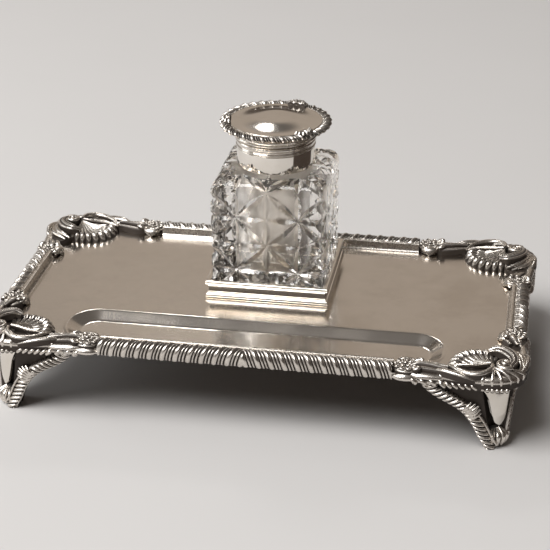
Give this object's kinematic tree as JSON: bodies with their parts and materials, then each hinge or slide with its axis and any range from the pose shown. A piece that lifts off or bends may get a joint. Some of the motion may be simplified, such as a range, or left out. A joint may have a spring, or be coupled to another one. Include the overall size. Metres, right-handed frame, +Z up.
{
  "type": "inkwell",
  "caption": "Cut-glass inkwell with a hinged round lid, standing in a square gallery on a footed silver pen tray with shell corners.",
  "frame": {"origin": "on the table, under the centre of the tray's bounding box", "axes": "+X along the tray to the right, pen trough towards -Y, +Z up"},
  "size_m": [0.2116, 0.1186, 0.1009],
  "materials": {
    "tray_silver": "worn polish, soft warm-grey mirror",
    "cast_silver": "cast and chased ornament with dark recesses",
    "bright_silver": "bright polish",
    "lid_silver": "satin polish",
    "cut_glass": "clear, deep V cuts",
    "plaster": "white setting plaster",
    "hinge_wire": "drawn wire"
  },
  "bodies": {
    "stand": {"tray_plate": "tray_silver", "gallery_front": "bright_silver", "gallery_right": "bright_silver", "gallery_back": "bright_silver", "gallery_left": "bright_silver", "gadroon_front": "cast_silver", "gadroon_right": "cast_silver", "gadroon_back": "cast_silver", "gadroon_left": "cast_silver", "floret_leaf_front_left": "cast_silver", "floret_leaf_front_right": "cast_silver", "floret_leaf_right_left": "cast_silver", "floret_leaf_right_right": "cast_silver", "floret_leaf_back_left": "cast_silver", "floret_leaf_back_right": "cast_silver", "floret_leaf_left_left": "cast_silver", "floret_leaf_left_right": "cast_silver", "corner_shell_front_left": "cast_silver", "corner_shell_front_right": "cast_silver", "corner_shell_back_left": "cast_silver", "corner_shell_back_right": "cast_silver", "foot_front_left": "cast_silver", "foot_front_right": "cast_silver", "foot_back_left": "cast_silver", "foot_back_right": "cast_silver"},
    "inkwell": {"glass_bottle": "cut_glass", "neck_plaster": "plaster", "collar_band": "bright_silver", "collar_moulding": "bright_silver", "hinge_knuckle_left": "bright_silver", "hinge_knuckle_right": "bright_silver", "hinge_pin": "hinge_wire"},
    "lid": {"lid_plate": "lid_silver", "lid_bezel": "bright_silver", "lid_rim": "cast_silver", "lid_liner": "bright_silver", "lid_shell_1": "cast_silver", "lid_shell_2": "cast_silver", "lid_shell_3": "cast_silver", "lid_knuckle": "bright_silver"}
  },
  "joints": [
    {"name": "bottle_lift", "type": "slide", "parent": "stand", "child": "inkwell", "axis": [0, 0, 1], "range_m": [0, 0.03]},
    {"name": "lid_hinge", "type": "hinge", "parent": "inkwell", "child": "lid", "pos_m": [0, 0.0366, 0.09295], "axis": [-1, 0, 0], "range_deg": [0, 105]}
  ]
}
